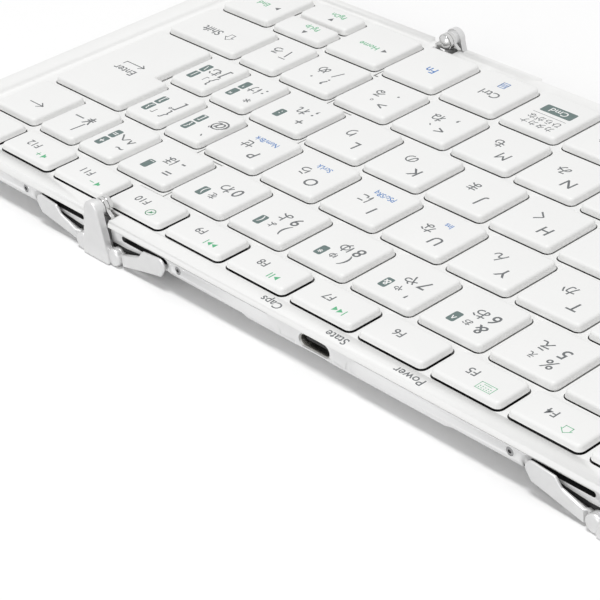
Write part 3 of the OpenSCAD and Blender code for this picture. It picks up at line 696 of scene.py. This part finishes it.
def arc_points(centre, radius, start_deg, end_deg, steps):
    angles = [math.radians(start_deg + (end_deg - start_deg) * i / steps) for i in range(steps + 1)]
    return [Vector((centre[0] + radius * math.cos(a), centre[1] + radius * math.sin(a))) for a in angles]


def circle_points(centre, radius):
    return arc_points(centre, radius, 0, 350, 35)


def cut_hole(mesh, centre, radius, length):
    """The mesh with a round hole through it along Y."""
    bm = bmesh.new()
    turn = Matrix.Rotation(math.pi / 2, 4, "X")
    bmesh.ops.create_cone(bm, cap_ends=True, segments=40, radius1=radius, radius2=radius, depth=length,
                          matrix=Matrix.Translation(centre) @ turn)
    drill = put("drill", mesh_from(bm, "drill"))
    blank = put("blank", mesh)
    cutter = blank.modifiers.new("hole", "BOOLEAN")
    cutter.object = drill
    cutter.operation = "DIFFERENCE"
    cutter.solver = "EXACT"
    result = plain_mesh(blank)
    bpy.data.objects.remove(drill)
    return result


def extrude_outline(points, place, y_in, y_out):
    """A closed outline of (distance, height) in millimetres as a solid from y_in to y_out."""
    bm = bmesh.new()
    rings = [[bm.verts.new(place(Vector(p) * MM, y)) for p in points] for y in (y_in, y_out)]
    bm.faces.new(rings[0])
    bm.faces.new(rings[1])
    for i in range(len(points)):
        j = (i + 1) % len(points)
        bm.faces.new((rings[0][i], rings[0][j], rings[1][j], rings[1][i]))
    bmesh.ops.recalc_face_normals(bm, faces=bm.faces)
    return bm


def solid(points, place, y_in, y_out, rim=0.0):
    """A solid over an outline in millimetres, with its outer edges rounded by rim."""
    bm = extrude_outline(points, place, y_in, y_out)
    if rim:
        outer = [e for e in sharp_edges(bm, 50) if all(abs(abs(v.co.y) - y_out) < NEAR for v in e.verts)]
        round_edges(bm, outer, rim, 5)
    return closed_mesh(bm, "solid")


# The knuckle's outlines in millimetres: its plate from the middle, and the barrels at its foot
DOME_R = 2.4
FLANK_CORNERS = [(-3.7, 5.0, 4.0), (-4.7, 0.02, 0.7), (4.7, 0.02, 0.7), (3.7, 5.0, 4.0)]
BOSS_R = 1.9
BARREL_X = 5.5
BARREL_R = 2.1
SPINDLE_R = 0.8
# Its depths from the panels' edge face, its soft edges and its bore
PLATE_GAP = 0.105 * MM
PLATE_EDGE = 0.65 * MM
BOSS_DEPTH = 1.0 * MM
BARREL_BACK = 0.5 * MM
BARREL_EDGE = 0.7 * MM
OVERLAP = 0.1 * MM
BORE_R = 1.37 * MM
BORE_LENGTH = 10 * MM


def make_knuckle(node):
    """The knuckle casting: a domed plate that widens to its foot, barrels for the legs and a boss round
    the pin."""
    low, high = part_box(node)
    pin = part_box(node.replace("knuckle", "pin"))
    axis = middle_of(pin)
    out_y = 1 if low.y > 0 else -1
    spindle_y, plate_y = sorted((abs(low.y), abs(high.y)))
    pin_y = max(abs(corner.y) for corner in pin)
    inner_y = REAR_Y + PLATE_GAP

    def place(p, y):
        return axis.x + p.x, out_y * y, p.y

    centre = (0, axis.z / MM)
    dome = arc_points(centre, DOME_R, -8, 188, 26)
    plate = solid(dome + rounded(dome[-1], FLANK_CORNERS, dome[0], 8), place, inner_y, plate_y, PLATE_EDGE)
    boss = solid(circle_points(centre, BOSS_R), place, inner_y - BOSS_DEPTH, inner_y + OVERLAP)
    bore = Vector((axis.x, out_y * (pin_y - BORE_LENGTH / 2), axis.z))
    meshes = [cut_hole(mesh, bore, BORE_R, BORE_LENGTH) for mesh in (plate, boss)]
    for side in (-BARREL_X, BARREL_X):
        barrel = circle_points((side, BARREL_R), BARREL_R)
        spindle = circle_points((side, BARREL_R), SPINDLE_R)
        meshes.append(solid(barrel, place, inner_y, plate_y - BARREL_BACK, BARREL_EDGE))
        meshes.append(solid(spindle, place, spindle_y, inner_y + OVERLAP))
    mesh = mesh_from(gathered(meshes), node + "_casting")
    shade(mesh)
    replace_node(node, "_casting", mesh, [ZINC])


# The leg's outline in millimetres from the middle of its knuckle and from the floor
EYE = (BARREL_X, BARREL_R)
EYE_R = 1.95
LEG_CORNERS = [(20.9, 3.15, 0.5), (22.4, 5.3, 1.2), (22.6, 7.8, 1.7), (15.2, 7.1, 0.5), (13.7, 5.3, 0.9)]
# Its depths from the panels' edge face, where its eye steps back to them, its soft edge and its hole
LEG_BACK = 0.015 * MM
LEG_PROUD = 0.55 * MM
EYE_BACK = -0.7 * MM
EYE_FRONT = 0.05 * MM
RAMP = (7.7 * MM, 8.3 * MM)
LEG_EDGE = 0.3 * MM
EYE_HOLE_R = 0.85 * MM
HOLE_LENGTH = 8 * MM


def make_leg(node):
    """A leg: an eye, a slim arm and a paddle with a rounded end that stands in front of the edge face."""
    low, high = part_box(node)
    side, _, end, _ = node.split("_")
    axis_x = middle_x(f"{side}_{end}_pin")
    out_x = 1 if low.x + high.x > 2 * axis_x else -1
    out_y = 1 if low.y > 0 else -1
    y_in, y_out = REAR_Y + LEG_BACK, REAR_Y + LEG_PROUD
    eye = arc_points(EYE, EYE_R, 38, 310, 22)
    bm = extrude_outline(eye + rounded(eye[-1], LEG_CORNERS, eye[0]),
                         lambda p, y: (axis_x + out_x * p.x, out_y * y, p.y), y_in, y_out)
    for reach in RAMP:
        bmesh.ops.bisect_plane(bm, geom=bm.verts[:] + bm.edges[:] + bm.faces[:], dist=0.0001 * MM,
                               plane_co=(axis_x + out_x * reach, 0, 0), plane_no=(1, 0, 0))
    for vert in bm.verts:
        outer = abs(vert.co.y) > REAR_Y + LEG_PROUD / 2
        if (vert.co.x - axis_x) * out_x < RAMP[1] - NEAR:
            vert.co.y = out_y * (REAR_Y + (EYE_FRONT if outer else EYE_BACK))
    face_y = REAR_Y + EYE_FRONT - NEAR
    front = [e for e in sharp_edges(bm, 50) if min(abs(v.co.y) for v in e.verts) > face_y]
    round_edges(bm, front, LEG_EDGE)
    centre = Vector((axis_x + out_x * EYE[0] * MM, out_y * y_in, EYE[1] * MM))
    mesh = cut_hole(closed_mesh(bm, node + "_blank"), centre, EYE_HOLE_R, HOLE_LENGTH)
    shade(mesh)
    replace_node(node, "_casting", mesh, [ZINC])


# An ear's outline in millimetres from the fold axis: a ring round the pin and a low neck to the deck
EAR_R = 2.1
EAR_FOOT = (2.9, 3.5)
NECK_CORNERS = [(3.4, -1.3, 0.2), (2.7, -0.9, 0.4)]
EAR_EDGE = 0.08 * MM
EAR_HOLE_R = 1.4 * MM
PIN_EDGE = 0.1 * MM


def make_ears(node):
    """The turned ears round the pins of one panel."""
    meshes = []
    axes = [middle_of(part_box(f"{side}_{end}_pin")) for side in ("right", "left") for end in ("rear", "front")]
    for low, high in islands(node):
        middle = middle_of((low, high))
        axis = min(axes, key=lambda spot: (spot - middle).length)
        out_x = 1 if middle.x > axis.x else -1
        foot = [Vector((x, (DECK_Z - axis.z) / MM)) for x in EAR_FOOT]
        eye = arc_points((0, 0), EAR_R, -8, 290, 24)
        bm = extrude_outline(eye + foot + rounded(foot[1], NECK_CORNERS, eye[0]),
                             lambda p, y: (axis.x + out_x * p.x, y, axis.z + p.y), low.y, high.y)
        round_edges(bm, sharp_edges(bm, 50), EAR_EDGE, 2)
        centre = Vector((axis.x, middle.y, axis.z))
        meshes.append(cut_hole(closed_mesh(bm, "ear_blank"), centre, EAR_HOLE_R, HOLE_LENGTH))
    mesh = mesh_from(gathered(meshes), node + "_turned")
    shade(mesh, 35)
    replace_node(node, "_turned", mesh, [PIN_STEEL])


def make_pin(node):
    """The turned pin, with its edges broken."""
    bm = merged_copy(node)
    round_edges(bm, sharp_edges(bm), PIN_EDGE, 2)
    finish_copy(bm, node, "_turned", [PIN_STEEL])


def make_hinges():
    for node in frame["nodes"]:
        for ending, make in (("knuckle", make_knuckle), ("_leg", make_leg), ("_pin", make_pin),
                             ("hinge_ears", make_ears)):
            if node.endswith(ending):
                make(node)


# ---------------------------------------------------------------- deck and shell mouldings

SEAM_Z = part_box("middle_shell")[1].z
END_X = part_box("right_shell")[1].x
# The outer walls lie within this depth, so that the walls of openings further in stay sharp
WALL_BAND = 5.2 * MM
# Edge breaks: both sides of the groove between deck and shell, the deck's rim and the shell's foot
DECK_GROOVE = 0.24 * MM
SHELL_GROOVE = 0.12 * MM
RIM_EDGE = 0.25 * MM
FOOT_EDGE = 0.35 * MM


def outer_rim(bm, low_z, high_z):
    """Convex edges along the outside of a panel whose ends both lie from low_z to high_z."""
    found = []
    for edge in sharp_edges(bm, 60):
        middle = (edge.verts[0].co + edge.verts[1].co) / 2
        level = all(low_z - NEAR < v.co.z < high_z + NEAR for v in edge.verts)
        flat = max(abs(f.normal.z) for f in edge.link_faces) > 0.9
        wall = min(edge.link_faces, key=lambda f: abs(f.normal.z))
        outward_y = abs(middle.y) > REAR_Y - WALL_BAND and wall.normal.y * middle.y > 0
        outward_x = abs(middle.x) > END_X - WALL_BAND and wall.normal.x * middle.x > 0
        if level and flat and edge.is_convex and (outward_y or outward_x):
            found.append(edge)
    return found


# Depths of the leg recesses: the floors in the CAD, the floors brought out, and the slots' own floors
CAD_FLOOR = REAR_Y - 1.6 * MM
RECESS_FLOOR = REAR_Y - 0.8 * MM
SLOT_FLOOR = CAD_FLOOR - 0.9 * MM
# The painted shade sheet's outline in millimetres from the fold axis and the floor, and its faces from the
# recess floor
SHADE_SHEET = [(3.2, 4.3), (3.2, 3.3), (6.9, 2.8), (13.5, 4.2), (15.5, 4.6), (15.5, 5.2), (7.0, 4.4)]
SHADE_SHEET_BACK = 0.5 * MM
SHADE_SHEET_FRONT = 0.04 * MM


def raise_recess_floors(bm):
    """Brings the floors of the leg recesses out to the paddles and paints the slots in them black as shade."""
    for vert in bm.verts:
        if abs(abs(vert.co.y) - CAD_FLOOR) < 2 * NEAR:
            vert.co.y = math.copysign(RECESS_FLOOR, vert.co.y)
    # Painted shade: the slot floors take the black second material
    for face in bm.faces:
        depths = [abs(v.co.y) for v in face.verts]
        if abs(min(depths) - SLOT_FLOOR) < 2 * NEAR and max(depths) < RECESS_FLOOR + 2 * NEAR:
            face.material_index = 1


def make_painted_shade(node):
    """Painted shade: a black sheet below the recess floors, standing in for the shade seen in the wedge between
    a shell and the arms of its legs.
    """
    meshes = []
    for side, sign in (("right", 1), ("left", -1)):
        if node not in ("middle_shell", f"{side}_shell"):
            continue
        axis_x = middle_x(f"{side}_rear_pin")
        way = -sign if node == "middle_shell" else sign
        for out_y in (1, -1):
            meshes.append(solid(SHADE_SHEET, lambda p, y: (axis_x + way * p.x, out_y * y, p.y),
                                RECESS_FLOOR - SHADE_SHEET_BACK, RECESS_FLOOR + SHADE_SHEET_FRONT))
    name = node + "_lining"
    make_piece(name, mesh_from(gathered(meshes), name), BODY_OF[node], [PAINTED_SHADE])


def make_panels():
    """Decks and shells with soft outer edges and a fine groove where they meet."""
    for node in frame["nodes"]:
        if node.endswith("_deck"):
            bm = merged_copy(node)
            round_edges(bm, outer_rim(bm, SEAM_Z, SEAM_Z), DECK_GROOVE, 1)
            round_edges(bm, outer_rim(bm, DECK_Z, DECK_Z + RIM_HEIGHT), RIM_EDGE)
            finish_copy(bm, node, "_moulding", [DECK_WHITE])
        elif node.endswith("_shell"):
            bm = merged_copy(node)
            raise_recess_floors(bm)
            make_painted_shade(node)
            round_edges(bm, outer_rim(bm, SEAM_Z, SEAM_Z), SHELL_GROOVE, 1)
            round_edges(bm, outer_rim(bm, 0, SEAM_Z - 2 * MM), FOOT_EDGE)
            finish_copy(bm, node, "_moulding", [SHELL, PAINTED_SHADE])


# ---------------------------------------------------------------- edge screws

def screw_tree():
    """Geometry Nodes tree that sets a screw with a domed head and a six-sided drive on every point."""
    tree = bpy.data.node_groups.new("edge_screws", "GeometryNodeTree")
    face = tree.interface
    face.new_socket("Points", in_out="INPUT", socket_type="NodeSocketGeometry")
    usual_mm = {"Head radius": 0.95, "Head height": 0.55, "Dome height": 0.18, "Drive radius": 0.45,
                "Shank radius": 0.55, "Shank length": 4.0}
    sizes = {}
    for name, value in usual_mm.items():
        sizes[name] = face.new_socket(name, in_out="INPUT", socket_type="NodeSocketFloat")
        sizes[name].default_value = value * MM
    face.new_socket("Screws", in_out="OUTPUT", socket_type="NodeSocketGeometry")
    given = add(tree, "NodeGroupInput").outputs

    # The head lies just below its point, and the dome stands over it
    head = add(tree, "GeometryNodeMeshCylinder", {"Vertices": 40, "Radius": given["Head radius"],
                                                  "Depth": given["Head height"]})
    head_mid = add(tree, "ShaderNodeMath", {0: given["Head height"], 1: -0.5}, operation="MULTIPLY")
    head_place = add(tree, "ShaderNodeCombineXYZ", {"Z": head_mid.outputs[0]})
    head_at = add(tree, "GeometryNodeTransform", {"Geometry": head.outputs["Mesh"],
                                                  "Translation": head_place.outputs[0]})
    dome = add(tree, "GeometryNodeMeshUVSphere", {"Segments": 40, "Rings": 20,
                                                  "Radius": given["Head radius"]})
    flat = add(tree, "ShaderNodeMath", {0: given["Dome height"], 1: given["Head radius"]},
               operation="DIVIDE")
    squash = add(tree, "ShaderNodeCombineXYZ", {"X": 0.97, "Y": 0.97, "Z": flat.outputs[0]})
    dome_at = add(tree, "GeometryNodeTransform", {"Geometry": dome.outputs["Mesh"],
                                                  "Scale": squash.outputs[0]})

    # The shank starts inside the head
    shank = add(tree, "GeometryNodeMeshCylinder", {"Vertices": 24, "Radius": given["Shank radius"],
                                                   "Depth": given["Shank length"]})
    shank_mid = add(tree, "ShaderNodeMath", {0: given["Shank length"], 1: -0.5}, operation="MULTIPLY")
    shank_low = add(tree, "ShaderNodeMath", {0: given["Head height"], 1: -0.8, 2: shank_mid.outputs[0]},
                    operation="MULTIPLY_ADD")
    shank_place = add(tree, "ShaderNodeCombineXYZ", {"Z": shank_low.outputs[0]})
    shank_at = add(tree, "GeometryNodeTransform", {"Geometry": shank.outputs["Mesh"],
                                                   "Translation": shank_place.outputs[0]})
    body = add(tree, "GeometryNodeMeshBoolean", operation="UNION", solver="EXACT")
    for part in (head_at, dome_at, shank_at):
        tree.links.new(part.outputs[0], body.inputs["Mesh 2"])

    # A six-sided drive is cut into the head
    drive = add(tree, "GeometryNodeMeshCylinder", {"Vertices": 6, "Radius": given["Drive radius"],
                                                   "Depth": given["Head height"]})
    cut = add(tree, "GeometryNodeMeshBoolean", {"Mesh 1": body.outputs["Mesh"]},
              operation="DIFFERENCE", solver="EXACT")
    tree.links.new(drive.outputs["Mesh"], cut.inputs["Mesh 2"])
    named = add(tree, "GeometryNodeInputNamedAttribute", {"Name": "facing"}, data_type="FLOAT_VECTOR")
    facing = next(o for o in named.outputs if o.enabled and o.type == "VECTOR")
    turn = add(tree, "FunctionNodeAlignRotationToVector", {"Vector": facing}, axis="Z")
    placed = add(tree, "GeometryNodeInstanceOnPoints",
                 {"Points": given["Points"], "Instance": cut.outputs["Mesh"], "Rotation": turn.outputs[0]})
    real = add(tree, "GeometryNodeRealizeInstances", {"Geometry": placed.outputs[0]})
    finish = add(tree, "GeometryNodeSetMaterial", {"Geometry": real.outputs[0], "Material": SCREW})
    out = add(tree, "NodeGroupOutput")
    tree.links.new(finish.outputs[0], out.inputs["Screws"])
    return tree, sizes


def make_screws():
    """The edge screws of each panel, standing where the CAD has its plain ones."""
    tree, sizes = screw_tree()
    for node in ("middle_screws", "right_screws", "left_screws"):
        boxes = islands(node)
        seats = bpy.data.meshes.new(node + "_seats")
        outward = [1 if high.y > 0 else -1 for low, high in boxes]
        seats.from_pydata([((low.x + high.x) / 2, high.y if out > 0 else low.y, (low.z + high.z) / 2)
                           for (low, high), out in zip(boxes, outward)], [], [])
        facing = seats.attributes.new("facing", "FLOAT_VECTOR", "POINT")
        for i, out in enumerate(outward):
            facing.data[i].vector = (0, out, 0)
        host = put(node + "_host", seats)
        modifier = host.modifiers.new("screws", "NODES")
        modifier.node_group = tree
        low, high = boxes[0]
        modifier[sizes["Head radius"].identifier] = (high.x - low.x) / 2
        modifier[sizes["Shank length"].identifier] = (high.y - low.y) - 0.6 * MM
        mesh = plain_mesh(host)
        mesh.materials.clear()
        shade(mesh, 35)
        replace_node(node, "_made", mesh, [SCREW])


# ---------------------------------------------------------------- charging socket

# The socket's sheet, how far back its inside reaches, and the tongue in it
SOCKET_WALL = 0.25 * MM
SOCKET_BACK = 1.0 * MM
TONGUE_WIDTH = 6.6 * MM
TONGUE_THICK = 0.7 * MM
TONGUE_BACK = 0.5 * MM
TONGUE_SHORTER = 1.3 * MM
TONGUE_EDGE = 0.12 * MM
HALF_ROUND = 16


def make_socket():
    """The socket's stamped shell with rolled lips, and the black tongue inside it."""
    low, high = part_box("usb_socket")
    middle = middle_of((low, high))
    wide, tall = high.x - low.x, high.z - low.z
    reach = wide / 2 - tall / 2
    roll = SOCKET_WALL / 2
    steps = [(0.0, low.y), (0.0, high.y - roll)]
    for quarter in (1, 2, 3, 4):
        a = math.pi * quarter / 4
        steps.append((roll - roll * math.cos(a), high.y - roll + roll * math.sin(a)))
    steps.append((SOCKET_WALL, low.y + SOCKET_BACK))

    bm = bmesh.new()
    rings = []
    for shrink, y in steps:
        radius = tall / 2 - shrink
        points = []
        for side in (1, -1):
            for step in range(HALF_ROUND + 1):
                a = side * math.pi / 2 - math.pi * step / HALF_ROUND
                points.append((middle.x + side * reach + radius * math.cos(a), y,
                               middle.z + radius * math.sin(a)))
        rings.append([bm.verts.new(p) for p in points])
    for one, two in zip(rings, rings[1:]):
        for i in range(len(one)):
            j = (i + 1) % len(one)
            bm.faces.new((one[i], one[j], two[j], two[i]))
    bm.faces.new(rings[0])
    bm.faces.new(rings[-1])
    bmesh.ops.recalc_face_normals(bm, faces=bm.faces)
    mesh = mesh_from(bm, "usb_socket_stamping")
    shade(mesh)
    replace_node("usb_socket", "_stamping", mesh, [NICKEL])

    bm = bmesh.new()
    bmesh.ops.create_cube(bm, size=1)
    size = Vector((TONGUE_WIDTH, high.y - low.y - TONGUE_SHORTER, TONGUE_THICK))
    place = Vector((middle.x, low.y + TONGUE_BACK + size.y / 2, middle.z))
    for vert in bm.verts:
        vert.co = place + Vector(vert.co[i] * size[i] for i in range(3))
    bmesh.ops.bevel(bm, geom=bm.edges[:], offset=TONGUE_EDGE, segments=3, profile=0.5, affect="EDGES")
    mesh = mesh_from(bm, "usb_socket_tongue")
    shade(mesh)
    make_piece("usb_socket_tongue", mesh, BODY_OF["usb_socket"], [NYLON])


# ---------------------------------------------------------------- camera, floor and light

def make_camera():
    place = Vector((-0.263853, 0.284246, 0.238547))
    aim = Vector((0.015687, 0.048709, 0.0098))
    roll = math.radians(-4.396)
    data = bpy.data.cameras.new("photo_camera")
    data.sensor_width = 36
    data.lens = 129.37
    data.clip_start = 0.01
    camera = put("photo_camera", data)
    level = (aim - place).to_track_quat("-Z", "Y")
    camera.rotation_mode = "QUATERNION"
    camera.rotation_quaternion = level @ Quaternion((0, 0, 1), roll)
    camera.location = place
    bpy.context.scene.camera = camera


def make_floor():
    material, _, surface = start_material("floor_paper", 0.9)
    surface.inputs["Base Color"].default_value = srgb("#ffffff")
    surface.inputs["Specular IOR Level"].default_value = 0.0
    bm = bmesh.new()
    bmesh.ops.create_grid(bm, x_segments=1, y_segments=1, size=6)
    mesh = mesh_from(bm, "floor")
    mesh.materials.append(material)
    floor = put("floor", mesh)


def soft_light(name, place, aim, size, power):
    data = bpy.data.lights.new(name, "AREA")
    data.shape = "DISK"
    data.size = size
    data.energy = power
    lamp = put(name, data)
    lamp.location = place
    lamp.rotation_mode = "QUATERNION"
    lamp.rotation_quaternion = (Vector(aim) - Vector(place)).to_track_quat("-Z", "Y")


def make_light():
    scene = bpy.context.scene
    world = bpy.data.worlds.new("studio")
    scene.world = world
    world.use_nodes = True
    tree = world.node_tree
    tree.nodes.clear()
    path = add(tree, "ShaderNodeLightPath")
    seen = add(tree, "ShaderNodeMath", {0: path.outputs["Is Camera Ray"], 1: path.outputs["Is Glossy Ray"]},
               operation="MAXIMUM")
    seen = add(tree, "ShaderNodeMath", {0: seen.outputs[0], 1: path.outputs["Is Transmission Ray"]},
               operation="MAXIMUM")
    room = add(tree, "ShaderNodeBackground", {"Color": (1, 1, 1, 1), "Strength": 0.5})
    white = add(tree, "ShaderNodeBackground", {"Color": (1, 1, 1, 1), "Strength": 1.0})
    mix = add(tree, "ShaderNodeMixShader", {0: seen.outputs[0], 1: room.outputs[0], 2: white.outputs[0]})
    out = add(tree, "ShaderNodeOutputWorld")
    tree.links.new(mix.outputs[0], out.inputs["Surface"])
    soft_light("top_key", (0.05, 0.15, 1.6), (0, 0, 0), 0.38, 11.8)
    soft_light("rear_fill", (-0.2, 1.1, 0.45), (0, 0, 0), 0.8, 2.5)
    scene.view_settings.view_transform = "Standard"
    scene.view_settings.look = "None"


# ---------------------------------------------------------------- making it all

make_camera()
make_floor()
make_light()
dress_nodes()
make_keycaps()
make_hinges()
make_panels()
make_screws()
make_socket()
print_keys()
print_deck()
